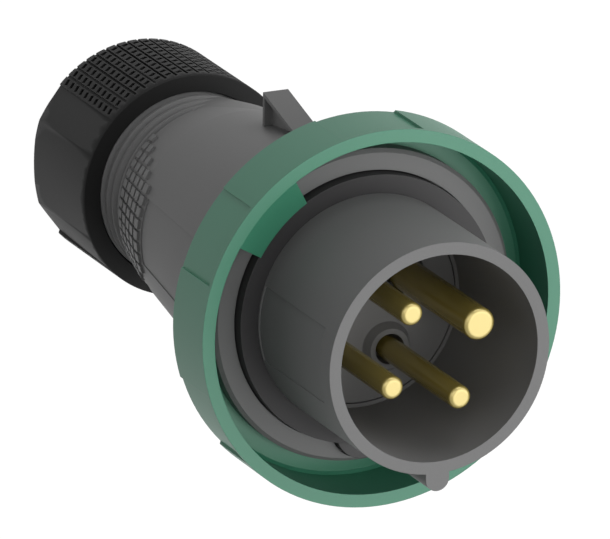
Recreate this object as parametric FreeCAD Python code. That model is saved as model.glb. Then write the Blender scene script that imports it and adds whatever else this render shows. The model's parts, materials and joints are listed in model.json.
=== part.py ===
"""Pin and sleeve plug, 16 A, three poles and earth, with a bayonet ring and a screwed cable gland.

The plug stands on the flat end of its gland nut, on the Z axis, with the sleeve opening upward.
A depth is a distance behind the sleeve rim. Angles run from +X toward +Y, in degrees.
"""

import math
import os

import FreeCAD
import Part

# Whole plug
LENGTH = 151.0
SIDE_ANGLES = (0.0, 180.0)

# Fits
RUNNING_FIT = 0.06
AXIAL_PLAY = 0.3
LOOSE_FIT = 0.3

# Front sleeve
SLEEVE_RADIUS = 25.0
SLEEVE_WALL = 2.63
SLEEVE_REACH = 36.5
STRIP_SPAN = 38.0
STRIP_START = 5.0
STRIP_DEPTH = 0.18
INSERT_LEDGE = 0.77
FLANGE_LIP = 4.5
FLANGE_THICKNESS = 4.3
FLANGE_CHAMFER = 0.8
HUB_STEP = 2.76
SPIGOT_STEP = 4.24
SPIGOT_LENGTH = 10.5
SEAL_WIDTH = 2.4
SEAL_DEPTH = 1.2
KEY_WIDTH = 5.3
KEY_HEIGHT = 3.8
KEY_LENGTH = 33.8
KEY_ANGLE = 270.0

# Flange gasket
GASKET_WIDTH = 4.5
GASKET_PROUD = 2.5
GASKET_SEAT = 2.5
GASKET_SLOPE = 0.6
GASKET_GAP = 0.3
EAR_RADIUS = 6.6
EAR_STEP = 1.3

# Pins
PIN_CIRCLE = 11.3
PIN_INSET = 1.4
EARTH_RADIUS = 3.5
EARTH_ANGLE = 30.0
PHASE_RADIUS = 2.5
PHASE_ANGLES = (120.0, 210.0, 300.0)
PIN_TIP_ROUND = 1.0
PIN_ROOT_STEP = 0.4
PIN_ROOT_LEAD = 0.2
PIN_COLLAR_STEP = 2.4
PIN_COLLAR_LENGTH = 3.0
BARREL_STEP = 1.7
BARREL_LENGTH = 15.0
WIRE_HOLE_SHARE = 0.8
WIRE_HOLE_DEPTH = 11.0

# Contact insert
INSERT_INSET = 0.5
PIN_WINDOW = 0.8
PIN_WINDOW_DEPTH = 5.0
COLLAR_PIN_ANGLE = PHASE_ANGLES[-1]
COLLAR_BASE_WALL = 2.15
COLLAR_RIM_WALL = 1.1
COLLAR_HEIGHT = 1.9

# Pin retainer and its screws
RETAINER_THICKNESS = 4.0
RETAINER_MARGIN = 0.4
RETAINER_SCREW_RADIUS = 1.25
RETAINER_SCREW_DEPTH = 7.0
RETAINER_SCREW_HEAD = 2.3
RETAINER_SCREW_HEAD_HEIGHT = 1.8
RETAINER_SCREW_ANGLES = (75.0, 165.0, 255.0)

# Terminal screws
TERMINAL_SCREW_SHARE = 0.36
TERMINAL_SCREW_TIP = 0.4
TERMINAL_SCREW_HEAD = 1.2
TERMINAL_SCREW_BACK = 4.5
TERMINAL_SLOT_DEPTH = 0.7
TERMINAL_SLOT_WIDTH = 0.6

# Coupling ring
RING_WEB = 2.1
RING_REACH = 13.9
RING_GAP = 4.2
RING_WALL = 2.8
RING_TAIL = 0.7
RING_LIP = 1.0
RECESS_COUNT = 6
RECESS_SPAN = 26.0
RECESS_DEPTH = 0.6
RECESS_ANGLE = 30.0
LUG_ANGLE = 135.5
LUG_SPAN = 27.0
LUG_HEIGHT = 6.6
LUG_SLOPE = 2.0
LUG_THICKNESS = 6.0

# Rear housing
SHOULDER_STEP = 3.0
SHOULDER_LENGTH = 2.5
HOUSING_WALL = 2.6
CAVITY_MARGIN = 1.0
FLARE_DEPTH = 52.0
FLARE_STEP = 3.6
WAIST_RADIUS = 24.1
TAIL_LENGTH = 14.0
TAIL_RADIUS = 21.0
PAD_LENGTH = 15.0
PAD_SLOPE_LENGTH = 1.0
PAD_SHOULDER_RADIUS = 22.9
PAD_END_RADIUS = 20.75
PAD_SPAN = 160.0
PAD_OFFSET = 5.0
PAD_ANGLES = (48.0, 250.0)
FLANK_ANGLE = 176.0
PANEL_SPAN = 34.0
PANEL_START = 60.0
PANEL_DEPTH = 0.22
GRIP_SPAN = 94.7
GRIP_ROWS = 16
GRIP_COLUMNS = 5
GRIP_PITCH = 3.6
GRIP_MARGIN = 0.4
GRIP_BLOCK = 2.5
GRIP_BLOCK_SPAN = 4.3
GRIP_DEPTH = 0.6

# Nose on top of the housing
NOSE_WIDTH = 5.8
NOSE_STEP = 0.15
NOSE_BACK = 80.5
NOSE_ANGLE = 15.5
NOSE_SKIN = 0.8
NOSE_TOP_SKIN = 1.1
NOSE_ROOT = 1.0
NOSE_WEB = 2.2

# Threaded neck
NECK_EXPOSED = 11.0
NECK_RELIEF = 0.6
THREAD_CREST = 20.6
THREAD_HEIGHT = 1.35
THREAD_PITCH = 3.1
THREAD_TURNS = 6.0
THREAD_END_ANGLE = 235.0
THREAD_ROOT_LAP = 0.3
CREST_WIDTH = 0.7
ROOT_WIDTH = 2.2
NECK_WALL = 2.7
NECK_LENGTH = 21.6
NECK_END_GAP = 0.5
SEAT_STEP = 3.6
SEAT_THICKNESS = 2.6

# Gland nut
NUT_LENGTH = 28.0
NUT_RADIUS = 24.7
NUT_FRONT_CHAMFER = 0.2
NUT_BACK_CHAMFER = 0.7
NUT_MARGIN = 1.3
NUT_BORE_FIT = 0.26
NUT_THREAD_TURNS = 1.25
NUT_THREAD_LEAD = 1.0
NUT_CREST_WIDTH = 0.4
NUT_ROOT_WIDTH = 1.7
MOUTH_RADIUS = 9.6
MOUTH_THICKNESS = 4.0
NUT_CAVITY_RADIUS = 17.2
NUT_CAVITY_SLOPE = 3.0
KNURL_ANGLES = (90.0, 270.0)
KNURL_RIBS = 16
KNURL_PITCH = 5.9
KNURL_GROOVE = 0.6
KNURL_DEPTH = 0.6
CROWN_CORNER = 22.25
CROWN_DEPTH = 0.95
FACET_CORNER = 42.8
FACET_DEPTH = 0.7

# Cable clamp
CABLE_RADIUS = 5.5
BASKET_WALL = 2.6
BASKET_RING = 6.0
BASKET_FIT = 0.1
BASKET_TAPER = 1.2
BASKET_TAPER_LENGTH = 3.0
FINGER_COUNT = 8
FINGER_GAP = 2.4
THRUST_LENGTH = 4.0

# Derived depths and radii
EAR_PLACE = SLEEVE_RADIUS + EAR_STEP
SPIGOT_RADIUS = SLEEVE_RADIUS + GASKET_WIDTH + FLANGE_LIP - HUB_STEP - SPIGOT_STEP
FLANGE_RADIUS = SLEEVE_RADIUS + GASKET_WIDTH + FLANGE_LIP
HUB_RADIUS = FLANGE_RADIUS - HUB_STEP
FLARE_RADIUS = SPIGOT_RADIUS + FLARE_STEP
NOSE_HEIGHT = FLANGE_RADIUS - NOSE_STEP
SLEEVE_BORE = SLEEVE_RADIUS - SLEEVE_WALL
INSERT_SEAT = SLEEVE_BORE - INSERT_LEDGE
INSERT_RADIUS = INSERT_SEAT - LOOSE_FIT
FLANGE_BACK = SLEEVE_REACH + FLANGE_THICKNESS
WEB_FRONT = FLANGE_BACK + AXIAL_PLAY
WEB_BACK = WEB_FRONT + RING_WEB
JOINT_DEPTH = WEB_BACK + AXIAL_PLAY
SPIGOT_END = JOINT_DEPTH + SPIGOT_LENGTH
INSERT_FLOOR = SLEEVE_REACH + INSERT_INSET
RETAINER_BACK = SPIGOT_END + RETAINER_THICKNESS
CAVITY_STEP = RETAINER_BACK + RETAINER_SCREW_HEAD_HEIGHT + CAVITY_MARGIN
RING_BORE = FLANGE_RADIUS + RING_GAP
RING_RADIUS = RING_BORE + RING_WALL
NECK_RADIUS = THREAD_CREST - THREAD_HEIGHT
NECK_BORE = NECK_RADIUS - NECK_WALL
NUT_FRONT = LENGTH - NUT_LENGTH
NECK_START = NUT_FRONT - NECK_EXPOSED
NECK_END = NECK_START + NECK_LENGTH
WAIST_DEPTH = NECK_START - TAIL_LENGTH
GRIP_FRONT = NECK_START - GRIP_MARGIN - GRIP_COLUMNS * GRIP_PITCH
NUT_BORE = THREAD_CREST + NUT_BORE_FIT
MOUTH_DEPTH = LENGTH - MOUTH_THICKNESS
SEAT_BACK = NUT_FRONT - SEAT_THICKNESS
THREAD_FRONT = NECK_START + NECK_RELIEF + ROOT_WIDTH / 2
BASKET_RADIUS = NECK_BORE - BASKET_FIT
SEAL_RADIUS = BASKET_RADIUS - BASKET_WALL - LOOSE_FIT
THRUST_FRONT = MOUTH_DEPTH - THRUST_LENGTH
SEAL_BACK = THRUST_FRONT - AXIAL_PLAY


def vec(x, y, z):
    return FreeCAD.Vector(x, y, z)


def height(depth):
    """Place on the Z axis of a depth behind the sleeve rim."""
    return LENGTH - depth


def outline_face(points):
    """Flat face in the XZ plane from (radius, depth) points."""
    corners = [vec(radius, 0, height(depth)) for radius, depth in points]
    return Part.Face(Part.makePolygon(corners + corners[:1]))


def turned(points, start=0.0, span=360.0):
    """Solid turned about Z from (radius, depth) points, over a span of angles."""
    face = outline_face(points)
    face.rotate(vec(0, 0, 0), vec(0, 0, 1), start)
    return face.revolve(vec(0, 0, 0), vec(0, 0, 1), span)


def rod(radius, front, back, x=0.0, y=0.0):
    """Round rod along Z between two depths."""
    return Part.makeCylinder(radius, back - front, vec(x, y, height(back)))


def cone(front_radius, back_radius, front, back, x=0.0, y=0.0):
    return Part.makeCone(back_radius, front_radius, back - front, vec(x, y, height(back)))


def block(x0, x1, y0, y1, front, back):
    return Part.makeBox(x1 - x0, y1 - y0, back - front, vec(x0, y0, height(back)))


def spun(shape, angle):
    copy = shape.copy()
    copy.rotate(vec(0, 0, 0), vec(0, 0, 1), angle)
    return copy


def joined(shapes):
    whole = shapes[0]
    if len(shapes) > 1:
        whole = whole.fuse(shapes[1:])
    return whole.removeSplitter()


def polar(radius, angle):
    turn = math.radians(angle)
    return radius * math.cos(turn), radius * math.sin(turn)


def between(low, high, share):
    return low + (high - low) * share


def helical_ridge(root, crest, crest_width, root_width, front, turns):
    """Right-hand screw ridge of trapezium section from a root radius to a crest radius.

    Its front end is centred on a depth, at the angle where both threads end.
    """
    length = turns * THREAD_PITCH
    start = height(front) - length
    path = Part.makeHelix(THREAD_PITCH, length, abs(root))
    path.translate(vec(0, 0, start))
    half_root = root_width / 2
    half_crest = crest_width / 2
    corners = [
        vec(root, 0, start - half_root),
        vec(crest, 0, start - half_crest),
        vec(crest, 0, start + half_crest),
        vec(root, 0, start + half_root),
    ]
    profile = Part.makePolygon(corners + corners[:1])
    ridge = Part.Wire(path.Edges).makePipeShell([profile], True, True)
    return spun(ridge, THREAD_END_ANGLE - 360.0 * turns)


# Front sleeve


def sleeve_key():
    """Rounded key along the outside of the sleeve."""
    half = KEY_WIDTH / 2
    tip = SLEEVE_RADIUS + KEY_HEIGHT
    round_part = rod(half, 0, KEY_LENGTH, tip - half)
    stem = block(SLEEVE_RADIUS - SLEEVE_WALL / 2, tip - half, -half, half, 0, KEY_LENGTH)
    return spun(joined([round_part, stem]), KEY_ANGLE)


def sleeve_strip(angle):
    """Cutter for the shallow strip along one side of the sleeve."""
    floor = SLEEVE_RADIUS - STRIP_DEPTH
    back = SLEEVE_REACH - GASKET_PROUD
    far = SLEEVE_RADIUS + 1
    outline = [(floor, STRIP_START), (far, STRIP_START), (far, back), (floor, back)]
    return turned(outline, angle - STRIP_SPAN / 2, STRIP_SPAN)


def gasket_ear(extra, front):
    """Round ear of the flange seat over the foot of the key."""
    x, y = polar(EAR_PLACE, KEY_ANGLE)
    return rod(EAR_RADIUS + extra, front, SLEEVE_REACH + GASKET_SEAT, x, y)


def front_sleeve():
    gasket_edge = SLEEVE_RADIUS + GASKET_WIDTH
    body = turned([
        (SLEEVE_BORE, 0),
        (SLEEVE_RADIUS, 0),
        (SLEEVE_RADIUS, SLEEVE_REACH + GASKET_SEAT),
        (gasket_edge, SLEEVE_REACH + GASKET_SEAT),
        (gasket_edge, SLEEVE_REACH),
        (FLANGE_RADIUS - FLANGE_CHAMFER, SLEEVE_REACH),
        (FLANGE_RADIUS, SLEEVE_REACH + FLANGE_CHAMFER),
        (FLANGE_RADIUS, FLANGE_BACK),
        (HUB_RADIUS, FLANGE_BACK),
        (HUB_RADIUS, JOINT_DEPTH),
        (SPIGOT_RADIUS, JOINT_DEPTH),
        (SPIGOT_RADIUS, SPIGOT_END),
        (INSERT_SEAT, SPIGOT_END),
        (INSERT_SEAT, INSERT_FLOOR),
        (SLEEVE_BORE, INSERT_FLOOR),
    ])
    seat = gasket_ear(GASKET_GAP, SLEEVE_REACH - 1).cut(rod(SLEEVE_RADIUS, 0, FLANGE_BACK))
    body = body.cut(seat).fuse(sleeve_key())
    for angle in SIDE_ANGLES:
        body = body.cut(sleeve_strip(angle))
    for angle in RETAINER_SCREW_ANGLES:
        body = body.cut(retainer_screw_hole(angle, RETAINER_SCREW_RADIUS))
    return body.cut(seal_groove()).removeSplitter()


def flange_gasket():
    """Flat rubber ring in the flange, with an ear at the key."""
    outer = SLEEVE_RADIUS + GASKET_WIDTH - GASKET_GAP
    front = SLEEVE_REACH - GASKET_PROUD
    back = SLEEVE_REACH + GASKET_SEAT
    ring = turned([
        (SLEEVE_RADIUS, front + GASKET_SLOPE),
        (outer, front),
        (outer, back),
        (SLEEVE_RADIUS, back),
    ])
    ear = gasket_ear(0.0, front + GASKET_SLOPE).cut(rod(SLEEVE_RADIUS, 0, FLANGE_BACK))
    return joined([ring, ear])


# Seal between the sleeve and the rear housing


def seal_outline():
    middle = between(JOINT_DEPTH, SPIGOT_END, 0.5)
    half = SEAL_WIDTH / 2
    return [
        (SPIGOT_RADIUS - SEAL_DEPTH, middle - half),
        (SPIGOT_RADIUS, middle - half),
        (SPIGOT_RADIUS, middle + half),
        (SPIGOT_RADIUS - SEAL_DEPTH, middle + half),
    ]


def seal_groove():
    return turned(seal_outline())


def housing_seal():
    return turned(seal_outline())


# Pins


def pin_place(angle):
    return polar(PIN_CIRCLE, angle)


def barrel_radius(radius):
    return radius + BARREL_STEP


def pin_shank(radius, back):
    """Straight shank with a rounded, flat-ended tip."""
    shank = rod(radius, PIN_INSET, back)
    face = height(PIN_INSET) - 0.01
    tip = [edge for edge in shank.Edges if edge.Closed and edge.CenterOfMass.z > face]
    return shank.makeFillet(PIN_TIP_ROUND, tip)


def contact_pin(radius, angle):
    """Pin with a rounded tip, a slimmer root and a collar in the insert, and a terminal barrel."""
    x, y = pin_place(angle)
    end = SPIGOT_END + BARREL_LENGTH
    root = INSERT_FLOOR - PIN_ROOT_LEAD
    pieces = [
        pin_shank(radius, root),
        rod(radius - PIN_ROOT_STEP, root, SPIGOT_END),
        rod(radius + PIN_COLLAR_STEP, SPIGOT_END - PIN_COLLAR_LENGTH, SPIGOT_END),
        rod(barrel_radius(radius), SPIGOT_END, end),
    ]
    body = joined(pieces)
    body.translate(vec(x, y, 0))
    wire_hole = rod(radius * WIRE_HOLE_SHARE, end - WIRE_HOLE_DEPTH, end + 1, x, y)
    screw_hole = terminal_screw_rod(radius, angle, 0.0)
    return body.cut(wire_hole).cut(screw_hole)


def terminal_screw_rod(radius, angle, extra):
    """Round rod through the outward wall of a terminal barrel, where its screw sits."""
    reach = barrel_radius(radius) + extra
    shank = barrel_radius(radius) * TERMINAL_SCREW_SHARE
    depth = SPIGOT_END + BARREL_LENGTH - TERMINAL_SCREW_BACK
    screw = Part.makeCylinder(shank, reach, vec(PIN_CIRCLE, 0, height(depth)), vec(1, 0, 0))
    return spun(screw, angle)


def terminal_screw(radius, angle):
    """Slotted screw whose tip stands in the wire hole."""
    shank = barrel_radius(radius) * TERMINAL_SCREW_SHARE
    depth = SPIGOT_END + BARREL_LENGTH - TERMINAL_SCREW_BACK
    tip = radius * TERMINAL_SCREW_TIP
    top = barrel_radius(radius) + TERMINAL_SCREW_HEAD
    screw = Part.makeCylinder(shank, top - tip, vec(PIN_CIRCLE + tip, 0, height(depth)), vec(1, 0, 0))
    floor = PIN_CIRCLE + top - TERMINAL_SLOT_DEPTH
    half = TERMINAL_SLOT_WIDTH / 2
    slot = block(floor, floor + TERMINAL_SLOT_DEPTH + 1, -shank * 2, shank * 2, depth - half, depth + half)
    return spun(screw.cut(slot), angle)


def phase_terminal_screws():
    return Part.makeCompound([terminal_screw(PHASE_RADIUS, angle) for angle in PHASE_ANGLES])


# Contact insert


def pin_holes(radius, angle):
    """Window round the pin at the face, its close hole and the pocket of its collar."""
    x, y = pin_place(angle)
    collar_front = SPIGOT_END - PIN_COLLAR_LENGTH
    window_front = INSERT_FLOOR - COLLAR_HEIGHT - 1
    window = rod(radius + PIN_WINDOW, window_front, INSERT_FLOOR + PIN_WINDOW_DEPTH, x, y)
    close = rod(radius + RUNNING_FIT, INSERT_FLOOR, SPIGOT_END + 1, x, y)
    pocket = rod(radius + PIN_COLLAR_STEP + RUNNING_FIT, collar_front, SPIGOT_END + 1, x, y)
    return [window, close, pocket]


def insert_collar():
    """Raised tapered collar round one phase pin."""
    x, y = pin_place(COLLAR_PIN_ANGLE)
    hole = PHASE_RADIUS + PIN_WINDOW
    rim = hole + COLLAR_RIM_WALL
    base = hole + COLLAR_BASE_WALL
    return cone(rim, base, INSERT_FLOOR - COLLAR_HEIGHT, INSERT_FLOOR, x, y)


def contact_insert():
    body = joined([rod(INSERT_RADIUS, INSERT_FLOOR, SPIGOT_END), insert_collar()])
    cutters = pin_holes(EARTH_RADIUS, EARTH_ANGLE)
    for angle in PHASE_ANGLES:
        cutters += pin_holes(PHASE_RADIUS, angle)
    return body.cut(cutters)


def retainer_screw_place(angle):
    return polar(between(INSERT_SEAT, SPIGOT_RADIUS - SEAL_DEPTH, 0.5), angle)


def retainer_screw_hole(angle, radius):
    x, y = retainer_screw_place(angle)
    return rod(radius, SPIGOT_END - RETAINER_SCREW_DEPTH, RETAINER_BACK, x, y)


def barrel_hole(radius, angle):
    return rod(barrel_radius(radius) + RUNNING_FIT, SPIGOT_END, RETAINER_BACK, *pin_place(angle))


def pin_retainer():
    """Plate behind the insert that holds the pin collars in their pockets."""
    plate = rod(SPIGOT_RADIUS - RETAINER_MARGIN, SPIGOT_END, RETAINER_BACK)
    holes = [barrel_hole(EARTH_RADIUS, EARTH_ANGLE)]
    holes += [barrel_hole(PHASE_RADIUS, angle) for angle in PHASE_ANGLES]
    holes += [retainer_screw_hole(angle, RETAINER_SCREW_RADIUS) for angle in RETAINER_SCREW_ANGLES]
    return plate.cut(holes)


def retainer_screw(angle):
    x, y = retainer_screw_place(angle)
    head = rod(RETAINER_SCREW_HEAD, RETAINER_BACK, RETAINER_BACK + RETAINER_SCREW_HEAD_HEIGHT, x, y)
    return joined([retainer_screw_hole(angle, RETAINER_SCREW_RADIUS), head])


def retainer_screws():
    return Part.makeCompound([retainer_screw(angle) for angle in RETAINER_SCREW_ANGLES])


# Coupling ring


def ring_recess(angle):
    """Cutter for one shallow grip recess, open to the rear."""
    floor = RING_RADIUS - RECESS_DEPTH
    front = WEB_FRONT - RING_REACH + RING_LIP
    far = RING_RADIUS + 1
    outline = [(floor, front), (far, front), (far, WEB_BACK + 1), (floor, WEB_BACK + 1)]
    return turned(outline, angle - RECESS_SPAN / 2, RECESS_SPAN)


def ring_lug(angle):
    """Bayonet lug that reaches inward from the ring's wall."""
    front = WEB_FRONT - RING_REACH
    tip = RING_BORE - LUG_HEIGHT
    outline = [
        (RING_BORE + RING_WALL / 2, front),
        (RING_BORE, front),
        (tip, front + LUG_SLOPE),
        (tip, front + LUG_THICKNESS),
        (RING_BORE + RING_WALL / 2, front + LUG_THICKNESS),
    ]
    return turned(outline, angle - LUG_SPAN / 2, LUG_SPAN)


def coupling_ring():
    front = WEB_FRONT - RING_REACH
    inner = HUB_RADIUS + RUNNING_FIT
    body = turned([
        (RING_BORE, front),
        (RING_RADIUS, front),
        (RING_RADIUS, WEB_FRONT + RING_TAIL),
        (RING_RADIUS - RING_WEB + RING_TAIL, WEB_BACK),
        (inner, WEB_BACK),
        (inner, WEB_FRONT),
        (RING_BORE - RING_TAIL, WEB_FRONT),
        (RING_BORE, WEB_FRONT - RING_TAIL),
    ])
    recesses = [ring_recess(RECESS_ANGLE + 360.0 / RECESS_COUNT * i) for i in range(RECESS_COUNT)]
    body = body.cut(recesses)
    return joined([body, ring_lug(LUG_ANGLE), ring_lug(LUG_ANGLE + 180.0)])


# Rear housing


def body_radius(depth):
    """Outside radius of the tapered body at a depth."""
    if depth <= WAIST_DEPTH:
        return between(FLARE_RADIUS, WAIST_RADIUS, (depth - FLARE_DEPTH) / (WAIST_DEPTH - FLARE_DEPTH))
    return between(WAIST_RADIUS, TAIL_RADIUS, (depth - WAIST_DEPTH) / (NECK_START - WAIST_DEPTH))


def housing_shell():
    return turned([
        (SPIGOT_RADIUS, JOINT_DEPTH),
        (HUB_RADIUS + SHOULDER_STEP, JOINT_DEPTH),
        (HUB_RADIUS + SHOULDER_STEP, JOINT_DEPTH + SHOULDER_LENGTH),
        (FLARE_RADIUS, FLARE_DEPTH),
        (WAIST_RADIUS, WAIST_DEPTH),
        (TAIL_RADIUS, NECK_START),
        (NECK_RADIUS, NECK_START),
        (NECK_RADIUS, NECK_END),
        (NECK_BORE, NECK_END),
        (NECK_BORE, SEAT_BACK),
        (NECK_BORE - SEAT_STEP, SEAT_BACK),
        (NECK_BORE - SEAT_STEP, SEAT_BACK - SEAT_THICKNESS),
        (NECK_BORE, SEAT_BACK - SEAT_THICKNESS),
        (NECK_BORE, NECK_START),
        (WAIST_RADIUS - HOUSING_WALL, WAIST_DEPTH),
        (SPIGOT_RADIUS, CAVITY_STEP),
    ])


def housing_cavity():
    """Space inside the body and the neck."""
    return turned([
        (0, JOINT_DEPTH),
        (SPIGOT_RADIUS, JOINT_DEPTH),
        (SPIGOT_RADIUS, CAVITY_STEP),
        (WAIST_RADIUS - HOUSING_WALL, WAIST_DEPTH),
        (NECK_BORE, NECK_START),
        (NECK_BORE, NECK_END),
        (0, NECK_END),
    ])


def neck_pad(angle):
    """Smooth pad that swells out of the body and the neck and swallows the thread there.

    It is turned about an axis of its own, beside the plug's.
    """
    start = NECK_START - PAD_LENGTH
    end = NUT_FRONT - AXIAL_PLAY
    outline = [
        (body_radius(start) - 1.0, start),
        (body_radius(start), start),
        (PAD_SHOULDER_RADIUS, NECK_START - PAD_SLOPE_LENGTH),
        (PAD_END_RADIUS, end),
        (NECK_RADIUS - 1, end),
        (NECK_RADIUS - 1, NECK_START),
    ]
    pad = turned([(radius - PAD_OFFSET, depth) for radius, depth in outline], -PAD_SPAN / 2, PAD_SPAN)
    pad.translate(vec(PAD_OFFSET, 0, 0))
    return spun(pad, angle).cut(housing_cavity())


def side_panel(angle):
    """Cutter for the shallow panel along one side of the tapered body."""
    far = FLARE_RADIUS + 1
    outline = [
        (body_radius(PANEL_START) - PANEL_DEPTH, PANEL_START),
        (far, PANEL_START),
        (far, GRIP_FRONT),
        (body_radius(GRIP_FRONT) - PANEL_DEPTH, GRIP_FRONT),
    ]
    return turned(outline, angle - PANEL_SPAN / 2, PANEL_SPAN)


def grip_block(column, angle):
    """One raised block, by its column from the neck and its angle."""
    back = NECK_START - GRIP_MARGIN - GRIP_PITCH * column
    front = back - GRIP_BLOCK
    outline = [
        (body_radius(front) - 1, front),
        (body_radius(front) + GRIP_DEPTH, front),
        (body_radius(back) + GRIP_DEPTH, back),
        (body_radius(back) - 1, back),
    ]
    return turned(outline, angle - GRIP_BLOCK_SPAN / 2, GRIP_BLOCK_SPAN)


def grip_blocks(angle):
    """Rows of raised blocks behind the side panel, with fewer columns in the outer rows."""
    blocks = []
    for row in range(GRIP_ROWS):
        turn = angle - GRIP_SPAN / 2 + GRIP_SPAN * (row + 0.5) / GRIP_ROWS
        columns = min(GRIP_COLUMNS, row + 1, GRIP_ROWS - row)
        blocks += [grip_block(column, turn) for column in range(columns)]
    return blocks


def nose_side(back, top):
    """Side outline of the nose: a rear edge, a top that slopes forward and a base in the wall."""
    slope = math.tan(math.radians(NOSE_ANGLE))
    taper = (FLARE_RADIUS - WAIST_RADIUS) / (WAIST_DEPTH - FLARE_DEPTH)
    base = body_radius(back) - NOSE_ROOT
    front = back - (top - base) / (slope + taper)
    corners = [
        vec(0, base, height(back)),
        vec(0, top, height(back)),
        vec(0, body_radius(front) - NOSE_ROOT, height(front)),
    ]
    return Part.Face(Part.makePolygon(corners + corners[:1]))


def nose():
    """Hollow-sided nose at the top of the housing: a sloping top, a rear wall and a thin web."""
    half = NOSE_WIDTH / 2
    side = nose_side(NOSE_BACK, NOSE_HEIGHT)
    side.translate(vec(-half, 0, 0))
    body = side.extrude(vec(NOSE_WIDTH, 0, 0))
    pocket_side = nose_side(NOSE_BACK - NOSE_SKIN, NOSE_HEIGHT - NOSE_TOP_SKIN)
    pockets = []
    for offset in (NOSE_WEB / 2, -NOSE_WEB / 2 - half):
        pocket = pocket_side.extrude(vec(half, 0, 0))
        pocket.translate(vec(offset, 0, 0))
        pockets.append(pocket)
    return body.cut(pockets)


def neck_thread():
    """Screw thread that stands on the neck."""
    root = NECK_RADIUS - THREAD_ROOT_LAP
    return helical_ridge(root, THREAD_CREST, CREST_WIDTH, ROOT_WIDTH, THREAD_FRONT, THREAD_TURNS)


def rear_housing():
    body = housing_shell()
    for angle in SIDE_ANGLES:
        body = body.cut(side_panel(FLANK_ANGLE + angle))
    pieces = [body, nose(), neck_thread()]
    pieces += [neck_pad(angle) for angle in PAD_ANGLES]
    for angle in SIDE_ANGLES:
        pieces += grip_blocks(FLANK_ANGLE + angle)
    return joined(pieces)


# Cable clamp


def cable_seal():
    return rod(SEAL_RADIUS, SEAT_BACK, SEAL_BACK).cut(rod(CABLE_RADIUS, SEAT_BACK, SEAL_BACK))


def clamp_basket():
    """Ring in the neck with slotted fingers round the seal."""
    inner = BASKET_RADIUS - BASKET_WALL
    end = SEAL_BACK
    body = turned([
        (inner, SEAT_BACK),
        (BASKET_RADIUS, SEAT_BACK),
        (BASKET_RADIUS, end - BASKET_TAPER_LENGTH),
        (BASKET_RADIUS - BASKET_TAPER, end),
        (inner, end),
    ])
    slot = block(0, BASKET_RADIUS * 2, -FINGER_GAP / 2, FINGER_GAP / 2, SEAT_BACK + BASKET_RING, end + 1)
    return body.cut([spun(slot, 360.0 / FINGER_COUNT * i) for i in range(FINGER_COUNT)])


def thrust_ring():
    outer = NUT_CAVITY_RADIUS - LOOSE_FIT
    return turned([
        (MOUTH_RADIUS, THRUST_FRONT),
        (outer, THRUST_FRONT),
        (outer, MOUTH_DEPTH),
        (MOUTH_RADIUS, MOUTH_DEPTH),
    ])


# Gland nut


def knurl_groove(angle):
    """Axial groove between two knurl ribs, open at the rear end."""
    floor = NUT_RADIUS - KNURL_DEPTH
    half = KNURL_GROOVE / 2
    return spun(block(floor, NUT_RADIUS + 1, -half, half, NUT_FRONT + NUT_MARGIN, LENGTH + 1), angle)


def facet_section(depth, dome_drop, corner_drop):
    """Section wire round both smooth sides of the nut: a domed face between two side faces.

    The drops are how far the middle of the dome and the outer corners lie inside the nut's radius.
    """
    wide = NUT_RADIUS + 1
    corner = NUT_RADIUS - corner_drop
    middle = between(CROWN_CORNER, FACET_CORNER, 0.5)
    side_drop = NUT_RADIUS * (1 - math.cos(math.radians(FACET_CORNER - middle)))
    facet = NUT_RADIUS - between(0, side_drop + corner_drop / 2, dome_drop / CROWN_DEPTH)
    edges = []

    def spot(radius, angle):
        x, y = polar(radius, angle)
        return vec(x, y, height(depth))

    def arc(start, through, end):
        edges.append(Part.Arc(spot(*start), spot(*through), spot(*end)).toShape())

    def line(start, end):
        edges.append(Part.makeLine(spot(*start), spot(*end)))

    for side in SIDE_ANGLES:
        dome = (NUT_RADIUS - dome_drop, side)
        line((wide, side - FACET_CORNER), (corner, side - FACET_CORNER))
        arc((corner, side - FACET_CORNER), (facet, side - middle), (NUT_RADIUS, side - CROWN_CORNER))
        arc((NUT_RADIUS, side - CROWN_CORNER), dome, (NUT_RADIUS, side + CROWN_CORNER))
        arc((NUT_RADIUS, side + CROWN_CORNER), (facet, side + middle), (corner, side + FACET_CORNER))
        line((corner, side + FACET_CORNER), (wide, side + FACET_CORNER))
        arc((wide, side + FACET_CORNER), (wide, side + 90.0), (wide, side + 180.0 - FACET_CORNER))
    return Part.Wire(edges)


def side_faces():
    """Envelope of the nut whose smooth sides go from round at the front to three faces at the rear."""
    front = facet_section(NUT_FRONT, 0.0, 0.0)
    back = facet_section(LENGTH, CROWN_DEPTH, FACET_DEPTH)
    return Part.makeLoft([front, back], True, True)


def nut_shell():
    step = NECK_END + NECK_END_GAP
    return turned([
        (NUT_BORE, NUT_FRONT),
        (NUT_RADIUS - NUT_FRONT_CHAMFER, NUT_FRONT),
        (NUT_RADIUS, NUT_FRONT + NUT_FRONT_CHAMFER),
        (NUT_RADIUS, LENGTH - NUT_BACK_CHAMFER),
        (NUT_RADIUS - NUT_BACK_CHAMFER, LENGTH),
        (MOUTH_RADIUS, LENGTH),
        (MOUTH_RADIUS, MOUTH_DEPTH),
        (NUT_CAVITY_RADIUS, MOUTH_DEPTH),
        (NUT_CAVITY_RADIUS, step + NUT_CAVITY_SLOPE),
        (NUT_BORE, step),
    ])


def nut_thread():
    """Ridge inside the nut that runs in the groove of the neck's thread."""
    groove = math.ceil((NUT_FRONT + NUT_THREAD_LEAD - THREAD_FRONT) / THREAD_PITCH - 0.5) + 0.5
    front = THREAD_FRONT + groove * THREAD_PITCH
    crest = NECK_RADIUS + NUT_BORE_FIT
    root = NUT_BORE + THREAD_ROOT_LAP
    return helical_ridge(root, crest, NUT_CREST_WIDTH, NUT_ROOT_WIDTH, front, NUT_THREAD_TURNS)


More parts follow.
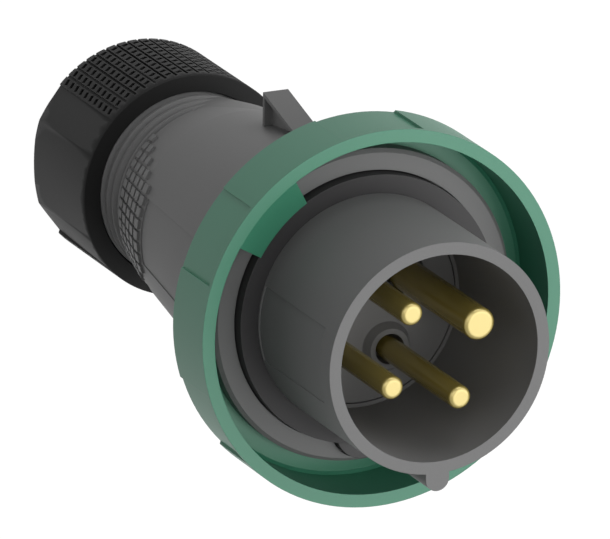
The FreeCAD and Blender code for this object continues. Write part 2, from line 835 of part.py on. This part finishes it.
def gland_nut():
    body = nut_shell()
    grooves = []
    for middle in KNURL_ANGLES:
        for gap in range(KNURL_RIBS - 1):
            grooves.append(knurl_groove(middle + (gap + 1 - KNURL_RIBS / 2) * KNURL_PITCH))
    body = body.cut(grooves)
    body = body.common(side_faces())
    return joined([body, nut_thread()])


def pieces():
    """Every separate piece of the plug, by its node name."""
    named = {
        "front_sleeve": front_sleeve(),
        "flange_gasket": flange_gasket(),
        "contact_insert": contact_insert(),
        "pin_retainer": pin_retainer(),
        "retainer_screws": retainer_screws(),
        "earth_pin": contact_pin(EARTH_RADIUS, EARTH_ANGLE),
        "earth_terminal_screw": terminal_screw(EARTH_RADIUS, EARTH_ANGLE),
        "phase_terminal_screws": phase_terminal_screws(),
        "coupling_ring": coupling_ring(),
        "rear_housing": rear_housing(),
        "housing_seal": housing_seal(),
        "cable_seal": cable_seal(),
        "clamp_basket": clamp_basket(),
        "thrust_ring": thrust_ring(),
        "gland_nut": gland_nut(),
    }
    for number, angle in enumerate(PHASE_ANGLES, 1):
        named[f"phase_pin_{number}"] = contact_pin(PHASE_RADIUS, angle)
    return named


def main():
    os.makedirs("parts", exist_ok=True)
    for name, shape in pieces().items():
        shape.exportStep(f"parts/{name}.step")


main()
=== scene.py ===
import json
import logging
import math
from dataclasses import dataclass, field
from enum import Enum

import bmesh
import bpy
from mathutils import Matrix, Vector

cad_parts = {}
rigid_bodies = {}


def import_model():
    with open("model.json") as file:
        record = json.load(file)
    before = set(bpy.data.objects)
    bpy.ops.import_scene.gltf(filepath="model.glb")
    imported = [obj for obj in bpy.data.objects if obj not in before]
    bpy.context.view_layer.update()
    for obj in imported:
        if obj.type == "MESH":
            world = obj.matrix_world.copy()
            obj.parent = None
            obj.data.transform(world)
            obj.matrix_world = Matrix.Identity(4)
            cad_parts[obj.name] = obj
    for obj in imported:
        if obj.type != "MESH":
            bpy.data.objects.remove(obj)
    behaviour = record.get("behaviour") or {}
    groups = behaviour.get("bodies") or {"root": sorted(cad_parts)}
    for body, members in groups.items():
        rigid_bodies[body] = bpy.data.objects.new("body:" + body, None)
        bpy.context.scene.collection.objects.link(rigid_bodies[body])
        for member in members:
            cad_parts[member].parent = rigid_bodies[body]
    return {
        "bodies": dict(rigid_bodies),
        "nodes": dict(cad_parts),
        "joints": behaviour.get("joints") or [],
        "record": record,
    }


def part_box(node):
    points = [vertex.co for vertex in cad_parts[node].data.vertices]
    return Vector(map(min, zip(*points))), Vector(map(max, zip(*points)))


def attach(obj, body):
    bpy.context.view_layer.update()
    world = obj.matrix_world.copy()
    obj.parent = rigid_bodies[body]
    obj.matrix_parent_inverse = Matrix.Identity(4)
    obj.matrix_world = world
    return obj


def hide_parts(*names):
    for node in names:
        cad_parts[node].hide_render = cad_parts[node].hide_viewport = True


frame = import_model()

LOG = logging.getLogger("pin_and_sleeve_plug")
MM = 0.001
MICRON = 0.000001
GRAIN_DETAIL = 2.0
EDGE_SAMPLES = 6
MERGE_DISTANCE = 2 * MICRON


class Slot(Enum):
    """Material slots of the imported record."""

    GREY = "grey_plastic"
    INSERT = "insert_plastic"
    GREEN = "green_plastic"
    BLACK = "black_plastic"
    RUBBER = "black_rubber"
    BRASS = "brass"
    STEEL = "steel"


def srgb(red: float, green: float, blue: float) -> tuple[float, float, float, float]:
    """Turn display values from 0 to 255 into a linear colour.

    Args:
        red: Display red.
        green: Display green.
        blue: Display blue.

    Returns:
        Linear red, green, blue and full alpha.
    """
    def linear(value: float) -> float:
        """One channel from display to linear."""
        share = value / 255
        return share / 12.92 if share <= 0.04045 else ((share + 0.055) / 1.055) ** 2.4

    return linear(red), linear(green), linear(blue), 1.0


@dataclass(frozen=True)
class Finish:
    """One surface finish: its colour, gloss, fine grain and the softness of its edges."""

    slot: Slot
    color: tuple[float, float, float, float]
    roughness: float
    metallic: float = 0.0
    specular: float = 0.5
    ior: float = 1.5
    grain_size: float = 0.4 * MM
    grain_height: float = 0.0
    tint_share: float = 0.0
    edge_radius: float = 0.15 * MM

    def material(self) -> bpy.types.Material:
        """Build the finish as a node material on Object coordinates.

        Returns:
            The new material.
        """
        material = bpy.data.materials.new(self.slot.value)
        material.use_nodes = True
        tree = material.node_tree
        shader = tree.nodes["Principled BSDF"]
        shader.inputs["Base Color"].default_value = self.color
        shader.inputs["Roughness"].default_value = self.roughness
        shader.inputs["Metallic"].default_value = self.metallic
        shader.inputs["Specular IOR Level"].default_value = self.specular
        shader.inputs["IOR"].default_value = self.ior
        grain = self.grain(tree)
        normal = self.edge(tree)
        if self.grain_height > 0:
            normal = self.bump(tree, grain, normal)
        tree.links.new(normal, shader.inputs["Normal"])
        if self.tint_share > 0:
            tree.links.new(self.tint(tree, grain), shader.inputs["Base Color"])
        return material

    def grain(self, tree: bpy.types.NodeTree) -> bpy.types.NodeSocket:
        """Add the fine noise that carries grain and tint.

        Args:
            tree: The material's tree.

        Returns:
            The noise's value.
        """
        place = tree.nodes.new("ShaderNodeTexCoord")
        noise = tree.nodes.new("ShaderNodeTexNoise")
        noise.inputs["Scale"].default_value = 1.0 / self.grain_size
        noise.inputs["Detail"].default_value = GRAIN_DETAIL
        tree.links.new(place.outputs["Object"], noise.inputs["Vector"])
        return noise.outputs["Fac"]

    def edge(self, tree: bpy.types.NodeTree) -> bpy.types.NodeSocket:
        """Add the node that softens sharp edges.

        Args:
            tree: The material's tree.

        Returns:
            The softened normal.
        """
        edge = tree.nodes.new("ShaderNodeBevel")
        edge.samples = EDGE_SAMPLES
        edge.inputs["Radius"].default_value = self.edge_radius
        return edge.outputs["Normal"]

    def bump(
        self,
        tree: bpy.types.NodeTree,
        grain: bpy.types.NodeSocket,
        normal: bpy.types.NodeSocket,
    ) -> bpy.types.NodeSocket:
        """Raise the grain on the surface.

        Args:
            tree: The material's tree.
            grain: The noise's value.
            normal: The normal to start from.

        Returns:
            The normal with grain.
        """
        bump = tree.nodes.new("ShaderNodeBump")
        bump.inputs["Strength"].default_value = 1.0
        bump.inputs["Distance"].default_value = self.grain_height
        tree.links.new(grain, bump.inputs["Height"])
        tree.links.new(normal, bump.inputs["Normal"])
        return bump.outputs["Normal"]

    def tint(self, tree: bpy.types.NodeTree, grain: bpy.types.NodeSocket) -> bpy.types.NodeSocket:
        """Vary the colour a little with the grain.

        Args:
            tree: The material's tree.
            grain: The noise's value.

        Returns:
            The varied colour.
        """
        mix = tree.nodes.new("ShaderNodeMix")
        mix.data_type = "RGBA"
        red_green_blue = self.color[:3]
        dark = [channel * (1 - self.tint_share) for channel in red_green_blue]
        light = [min(1.0, channel * (1 + self.tint_share)) for channel in red_green_blue]
        mix.inputs["A"].default_value = (*dark, 1.0)
        mix.inputs["B"].default_value = (*light, 1.0)
        tree.links.new(grain, mix.inputs["Factor"])
        return mix.outputs["Result"]


FINE_GRAIN = 4 * MICRON
COARSE_GRAIN = 6 * MICRON

FINISHES = (
    Finish(
        Slot.GREY,
        srgb(113, 113, 113),
        roughness=0.55,
        specular=0.26,
        grain_height=FINE_GRAIN,
        tint_share=0.03,
    ),
    Finish(
        Slot.INSERT,
        srgb(115, 115, 115),
        roughness=0.55,
        specular=0.24,
        grain_height=FINE_GRAIN,
        tint_share=0.03,
    ),
    Finish(
        Slot.GREEN,
        srgb(51, 120, 93),
        roughness=0.45,
        specular=0.56,
        grain_height=FINE_GRAIN,
        tint_share=0.03,
    ),
    Finish(
        Slot.BLACK,
        srgb(27, 27, 27),
        roughness=0.55,
        specular=0.16,
        grain_height=COARSE_GRAIN,
        tint_share=0.05,
    ),
    Finish(
        Slot.RUBBER,
        srgb(38, 37, 38),
        roughness=0.6,
        specular=0.55,
        grain_height=COARSE_GRAIN,
        tint_share=0.05,
    ),
    Finish(
        Slot.BRASS,
        srgb(160, 143, 70),
        roughness=0.24,
        metallic=0.45,
        specular=0.6,
        ior=1.9,
        tint_share=0.02,
    ),
    Finish(
        Slot.STEEL,
        srgb(190, 190, 192),
        roughness=0.3,
        metallic=1.0,
        edge_radius=0.1 * MM,
    ),
)


@dataclass
class Finishes:
    """All finishes, made once and handed out by slot."""

    made: dict[str, bpy.types.Material] = field(default_factory=dict)

    def build(self) -> None:
        """Make every material."""
        for finish in FINISHES:
            self.made[finish.slot.value] = finish.material()

    def of(self, slot: Slot) -> bpy.types.Material:
        """Return the material of one slot."""
        return self.made[slot.value]

    def dress_nodes(self, loaded: dict) -> int:
        """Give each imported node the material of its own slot.

        Args:
            loaded: What the frame loader returned.

        Returns:
            The number of nodes dressed.
        """
        slots = {row["node"]: row["material_slot"] for row in loaded["record"]["subparts"]}
        for name, node in loaded["nodes"].items():
            node.data.materials.clear()
            node.data.materials.append(self.made[slots[name]])
        return len(slots)


class TreeKit:
    """Small helper that builds one geometry node tree with named inputs."""

    def __init__(self, name: str) -> None:
        """Start an empty tree with a geometry input and output.

        Args:
            name: The tree's name.
        """
        self.tree = bpy.data.node_groups.new(name, "GeometryNodeTree")
        self.sockets: dict[str, str] = {}
        interface = self.tree.interface
        for way in ("INPUT", "OUTPUT"):
            interface.new_socket("Geometry", in_out=way, socket_type="NodeSocketGeometry")
        self.start = self.tree.nodes.new("NodeGroupInput")
        self.end = self.tree.nodes.new("NodeGroupOutput")

    def value(self, name: str, kind: str) -> bpy.types.NodeSocket:
        """Add a named input and return its socket inside the tree.

        Args:
            name: The input's name.
            kind: The socket type, such as NodeSocketFloat.

        Returns:
            The matching output socket of the group input node.
        """
        item = self.tree.interface.new_socket(name, in_out="INPUT", socket_type=kind)
        self.sockets[name] = item.identifier
        return next(s for s in self.start.outputs if s.identifier == item.identifier)

    def node(self, kind: str, **settings: object) -> bpy.types.Node:
        """Add a node and set its properties.

        Args:
            kind: The node's type name.
            settings: Properties to set on it.

        Returns:
            The new node.
        """
        node = self.tree.nodes.new(kind)
        for key, setting in settings.items():
            setattr(node, key, setting)
        return node

    def link(self, source: bpy.types.NodeSocket, target: bpy.types.NodeSocket) -> None:
        """Join two sockets."""
        self.tree.links.new(source, target)

    def math(self, operation: str, first: object, second: object) -> bpy.types.NodeSocket:
        """Add a math node.

        Args:
            operation: The node's operation.
            first: A socket or a number.
            second: A socket or a number.

        Returns:
            The result's socket.
        """
        node = self.node("ShaderNodeMath", operation=operation)
        for slot, item in zip(node.inputs, (first, second)):
            if isinstance(item, bpy.types.NodeSocket):
                self.link(item, slot)
            else:
                slot.default_value = float(item)
        return node.outputs[0]


def mesh_object(name: str, mesh: bpy.types.Mesh) -> bpy.types.Object:
    """Link a mesh to the scene as an object at the origin."""
    shown = bpy.data.objects.new(name, mesh)
    bpy.context.scene.collection.objects.link(shown)
    return shown


def merged_copy(node: bpy.types.Object, name: str) -> bpy.types.Object:
    """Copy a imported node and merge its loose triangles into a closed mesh.

    Args:
        node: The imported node.
        name: The copy's name.

    Returns:
        The new object.
    """
    mesh = node.data.copy()
    work = bmesh.new()
    work.from_mesh(mesh)
    bmesh.ops.remove_doubles(work, verts=work.verts, dist=MERGE_DISTANCE)
    work.to_mesh(mesh)
    work.free()
    mesh.name = name
    return mesh_object(name, mesh)


def evaluated(shown: bpy.types.Object, name: str) -> bpy.types.Object:
    """Turn an object with live modifiers into a plain mesh object.

    Args:
        shown: The object to evaluate, which is removed.
        name: The new object's name.

    Returns:
        The plain object.
    """
    bpy.context.view_layer.update()
    graph = bpy.context.evaluated_depsgraph_get()
    live = shown.evaluated_get(graph)
    mesh = bpy.data.meshes.new_from_object(live, preserve_all_data_layers=True, depsgraph=graph)
    bpy.data.objects.remove(shown)
    mesh.name = name
    return mesh_object(name, mesh)


@dataclass
class GlandNut:
    """The black gland nut, whose ribs get their short cross slots."""

    radius: float = 24.7 * MM
    slot_depth: float = 0.8 * MM
    slot_width: float = 1.0 * MM
    slot_length: float = 1.5 * MM
    slant: float = math.radians(20.0)
    rib_pitch: float = math.radians(5.9)
    ribs: int = 16
    rows: int = 10
    row_pitch: float = 2.45 * MM
    first_row: float = 2.7 * MM
    sides: int = 2

    def settings(self, rear: float) -> dict[str, tuple[str, object]]:
        """Plan the tree's named inputs, with cutters that lie half inside the nut's skin.

        Args:
            rear: Height of the nut's rear end.

        Returns:
            The socket type and the value of each input, by name.
        """
        cutter = (self.slot_depth * 2, self.slot_length, self.slot_width)
        return {
            "Radius": ("NodeSocketFloat", self.radius),
            "Rib pitch": ("NodeSocketFloat", self.rib_pitch),
            "Row pitch": ("NodeSocketFloat", self.row_pitch),
            "Sides": ("NodeSocketInt", self.sides),
            "Ribs": ("NodeSocketInt", self.ribs),
            "Rows": ("NodeSocketInt", self.rows),
            "First row": ("NodeSocketFloat", rear + self.first_row),
            "Slot size": ("NodeSocketVector", cutter),
            "Slot slant": ("NodeSocketFloat", self.slant),
        }

    @staticmethod
    def slot_turn(
        kit: TreeKit,
        inputs: dict,
        within: bpy.types.NodeSocket,
        side: bpy.types.NodeSocket,
    ) -> bpy.types.NodeSocket:
        """Work out the angle of a slot round the nut.

        Args:
            kit: The tree.
            inputs: The tree's named inputs.
            within: The slot's number on its side.
            side: The number of its side.

        Returns:
            The angle in radians.
        """
        rib = kit.math("FLOOR", kit.math("DIVIDE", within, inputs["Rows"]), 0.0)
        middle = kit.math("MULTIPLY", kit.math("SUBTRACT", inputs["Ribs"], 1.0), 0.5)
        offset = kit.math("MULTIPLY", kit.math("SUBTRACT", rib, middle), inputs["Rib pitch"])
        half_turn = kit.math("MULTIPLY", side, math.pi)
        return kit.math("ADD", kit.math("ADD", offset, half_turn), math.pi / 2)

    def slots(self, kit: TreeKit, inputs: dict) -> bpy.types.NodeSocket:
        """Place one cutter for every slot of both knurled sides.

        Args:
            kit: The tree.
            inputs: The tree's named inputs.

        Returns:
            The cutters as one mesh.
        """
        per_side = kit.math("MULTIPLY", inputs["Ribs"], inputs["Rows"])
        points = kit.node("GeometryNodePoints")
        kit.link(kit.math("MULTIPLY", per_side, inputs["Sides"]), points.inputs["Count"])
        index = kit.node("GeometryNodeInputIndex").outputs[0]
        side = kit.math("FLOOR", kit.math("DIVIDE", index, per_side), 0.0)
        within = kit.math("MODULO", index, per_side)
        row = kit.math("MODULO", within, inputs["Rows"])
        turn = self.slot_turn(kit, inputs, within, side)
        up = kit.math("MULTIPLY", row, inputs["Row pitch"])
        place = kit.node("ShaderNodeCombineXYZ")
        for axis, share in (("X", "COSINE"), ("Y", "SINE")):
            reach = kit.math("MULTIPLY", inputs["Radius"], kit.math(share, turn, 0.0))
            kit.link(reach, place.inputs[axis])
        kit.link(kit.math("ADD", inputs["First row"], up), place.inputs["Z"])
        kit.link(place.outputs[0], points.inputs["Position"])
        cutter = kit.node("GeometryNodeMeshCube")
        kit.link(inputs["Slot size"], cutter.inputs["Size"])
        spin = kit.node("ShaderNodeCombineXYZ")
        kit.link(inputs["Slot slant"], spin.inputs["X"])
        kit.link(turn, spin.inputs["Z"])
        onto = kit.node("GeometryNodeInstanceOnPoints")
        kit.link(points.outputs[0], onto.inputs["Points"])
        kit.link(cutter.outputs["Mesh"], onto.inputs["Instance"])
        kit.link(spin.outputs[0], onto.inputs["Rotation"])
        real = kit.node("GeometryNodeRealizeInstances")
        kit.link(onto.outputs[0], real.inputs[0])
        return real.outputs[0]

    def tree(self, plan: dict[str, tuple[str, object]], material: bpy.types.Material) -> TreeKit:
        """Build the tree that cuts the slots.

        Args:
            plan: Socket type and value of each named input.
            material: The nut's finish.

        Returns:
            The tree with its named inputs.
        """
        kit = TreeKit("nut_cross_slots")
        inputs = {name: kit.value(name, kind) for name, (kind, _) in plan.items()}
        cut = kit.node("GeometryNodeMeshBoolean", operation="DIFFERENCE", solver="EXACT")
        kit.link(kit.start.outputs[0], cut.inputs["Mesh 1"])
        kit.link(self.slots(kit, inputs), cut.inputs["Mesh 2"])
        last = kit.node("GeometryNodeRealizeInstances")
        kit.link(cut.outputs[0], last.inputs[0])
        dress = kit.node("GeometryNodeSetMaterial")
        dress.inputs["Material"].default_value = material
        kit.link(last.outputs[0], dress.inputs["Geometry"])
        kit.link(dress.outputs[0], kit.end.inputs[0])
        return kit

    def build(self, loaded: dict, finishes: Finishes) -> bpy.types.Object:
        """Make the slotted nut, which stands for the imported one.

        Args:
            loaded: What the frame loader returned.
            finishes: The finishes by slot.

        Returns:
            The finished nut.
        """
        low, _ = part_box("gland_nut")
        material = finishes.of(Slot.BLACK)
        nut = merged_copy(loaded["nodes"]["gland_nut"], "gland_nut_slotted_base")
        plan = self.settings(low.z)
        kit = self.tree(plan, material)
        modifier = nut.modifiers.new("slots", "NODES")
        modifier.node_group = kit.tree
        for name, (_, value) in plan.items():
            modifier[kit.sockets[name]] = value
        nut = evaluated(nut, "gland_nut_slotted")
        nut.data.materials.clear()
        nut.data.materials.append(material)
        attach(nut, "gland")
        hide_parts("gland_nut")
        return nut


@dataclass(frozen=True)
class Lamp:
    """One soft square lamp: direction from the plug, side in metres and power in watts."""

    name: str
    direction: tuple[float, float, float]
    size: float
    power: float


LAMPS = (
    Lamp("sheen", (0.41, -0.32, 0.855), size=1.2, power=8.4),
    Lamp("key", (0.54, 0.2, 0.82), size=1.6, power=16.6),
    Lamp("top", (0.2, 0.9, 0.35), size=1.0, power=6.6),
    Lamp("left", (-0.85, 0.2, 0.45), size=1.0, power=1.9),
    Lamp("overhead", (0.0, 0.0, 1.0), size=1.0, power=2.6),
    Lamp("lens", (-0.41, 0.32, 0.855), size=1.0, power=4.9),
)


@dataclass
class Studio:
    """Pale floor, soft lamps and the camera at the photograph's angle.

    The rim and the two axes are given as the lens sees them, with x right, y down and z away.
    Lengths of the rim are in millimetres, all others in metres.
    """

    floor_half: float = 3.0
    floor_tone: float = 0.35
    floor_glow: float = 1.13
    floor_glow_share: float = 0.88
    floor_roughness: float = 0.9
    sky: float = 0.02
    target: tuple[float, float, float] = (0.0, 0.0, 0.09)
    lamp_distance: float = 1.6
    focal_px: float = 12557.0
    frame_width_px: float = 610.0
    sensor: float = 36.0
    clip_end: float = 20.0
    rim: tuple[float, float, float] = (0.0, 0.0, 151.0)
    rim_from_camera: tuple[float, float, float] = (27.625, 18.3, 2574.5)
    axis_z: tuple[float, float, float] = (0.4259, 0.295, -0.8553)
    axis_y: tuple[float, float, float] = (0.014, -0.947, -0.319)

    def camera(self) -> bpy.types.Object:
        """Place the camera from the rim's place and the plug's axes as the lens sees them.

        Returns:
            The camera object.
        """
        z_axis = Vector(self.axis_z).normalized()
        y_axis = Vector(self.axis_y)
        y_axis = (y_axis - y_axis.dot(z_axis) * z_axis).normalized()
        x_axis = y_axis.cross(z_axis)
        to_camera = Matrix((x_axis, y_axis, z_axis)).transposed()
        to_object = to_camera.transposed()
        place = (Vector(self.rim) - to_object @ Vector(self.rim_from_camera)) * MM
        right = to_object @ Vector((1, 0, 0))
        up = to_object @ Vector((0, -1, 0))
        back = to_object @ Vector((0, 0, -1))
        data = bpy.data.cameras.new("camera")
        data.sensor_width = self.sensor
        data.lens = self.sensor * self.focal_px / self.frame_width_px
        data.clip_end = self.clip_end
        camera = bpy.data.objects.new("camera", data)
        turn = Matrix((right, up, back)).transposed().to_4x4()
        camera.matrix_world = Matrix.Translation(place) @ turn
        bpy.context.scene.collection.objects.link(camera)
        bpy.context.scene.camera = camera
        return camera

    def lamp(self, plan: Lamp) -> bpy.types.Object:
        """Add one soft square lamp that faces the plug.

        Args:
            plan: The lamp's place and strength.

        Returns:
            The lamp object.
        """
        data = bpy.data.lights.new(plan.name, "AREA")
        data.size = plan.size
        data.energy = plan.power
        shown = bpy.data.objects.new(plan.name, data)
        direction = Vector(plan.direction).normalized()
        shown.location = Vector(self.target) + direction * self.lamp_distance
        shown.rotation_euler = (-direction).to_track_quat("-Z", "Y").to_euler()
        bpy.context.scene.collection.objects.link(shown)
        return shown

    @staticmethod
    def seen_directly(tree: bpy.types.NodeTree) -> bpy.types.NodeSocket:
        """Tell the rays that show the backdrop from those that carry its light.

        Args:
            tree: The tree of the floor or the world.

        Returns:
            A socket that is 1 for camera, mirror and glass rays.
        """
        path = tree.nodes.new("ShaderNodeLightPath")
        last = path.outputs["Is Camera Ray"]
        for kind in ("Is Glossy Ray", "Is Transmission Ray"):
            either = tree.nodes.new("ShaderNodeMath")
            either.operation = "MAXIMUM"
            tree.links.new(last, either.inputs[0])
            tree.links.new(path.outputs[kind], either.inputs[1])
            last = either.outputs[0]
        return last

    def floor(self) -> bpy.types.Object:
        """Add the pale floor under the plug."""
        half = self.floor_half
        mesh = bpy.data.meshes.new("floor")
        corners = [(-half, -half, 0), (half, -half, 0), (half, half, 0), (-half, half, 0)]
        mesh.from_pydata(corners, [], [(0, 1, 2, 3)])
        floor = mesh_object("floor", mesh)
        material = bpy.data.materials.new("floor")
        material.use_nodes = True
        tree = material.node_tree
        shader = tree.nodes["Principled BSDF"]
        tone = self.floor_tone
        shader.inputs["Base Color"].default_value = (tone, tone, tone, 1)
        shader.inputs["Roughness"].default_value = self.floor_roughness
        shader.inputs["Specular IOR Level"].default_value = 0.0
        glow = tree.nodes.new("ShaderNodeEmission")
        glow.inputs["Strength"].default_value = self.floor_glow
        seen = self.seen_directly(tree)
        share = tree.nodes.new("ShaderNodeMath")
        share.operation = "MULTIPLY"
        share.inputs[1].default_value = self.floor_glow_share
        tree.links.new(seen, share.inputs[0])
        mix = tree.nodes.new("ShaderNodeMixShader")
        tree.links.new(share.outputs[0], mix.inputs[0])
        tree.links.new(shader.outputs[0], mix.inputs[1])
        tree.links.new(glow.outputs[0], mix.inputs[2])
        tree.links.new(mix.outputs[0], tree.nodes["Material Output"].inputs["Surface"])
        floor.data.materials.append(material)
        return floor

    def world(self) -> None:
        """Light the scene evenly, with a white sky where the camera sees it."""
        world = bpy.data.worlds.new("studio")
        bpy.context.scene.world = world
        world.use_nodes = True
        tree = world.node_tree
        back = tree.nodes["Background"]
        back.inputs["Color"].default_value = (1, 1, 1, 1)
        scale = tree.nodes.new("ShaderNodeMapRange")
        scale.inputs["To Min"].default_value = self.sky
        scale.inputs["To Max"].default_value = 1.0
        tree.links.new(self.seen_directly(tree), scale.inputs["Value"])
        tree.links.new(scale.outputs["Result"], back.inputs["Strength"])

    def build(self) -> None:
        """Set up everything around the plug."""
        scene = bpy.context.scene
        scene.view_settings.view_transform = "Standard"
        self.camera()
        self.floor()
        self.world()
        for plan in LAMPS:
            self.lamp(plan)


def main() -> None:
    """Dress the plug and set up the studio."""
    logging.basicConfig(level=logging.INFO)
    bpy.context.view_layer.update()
    finishes = Finishes()
    finishes.build()
    LOG.info("dressed %d nodes", finishes.dress_nodes(frame))
    nut = GlandNut().build(frame, finishes)
    LOG.info("%s: %d faces", nut.name, len(nut.data.polygons))
    Studio().build()


if __name__ == "__main__":
    main()
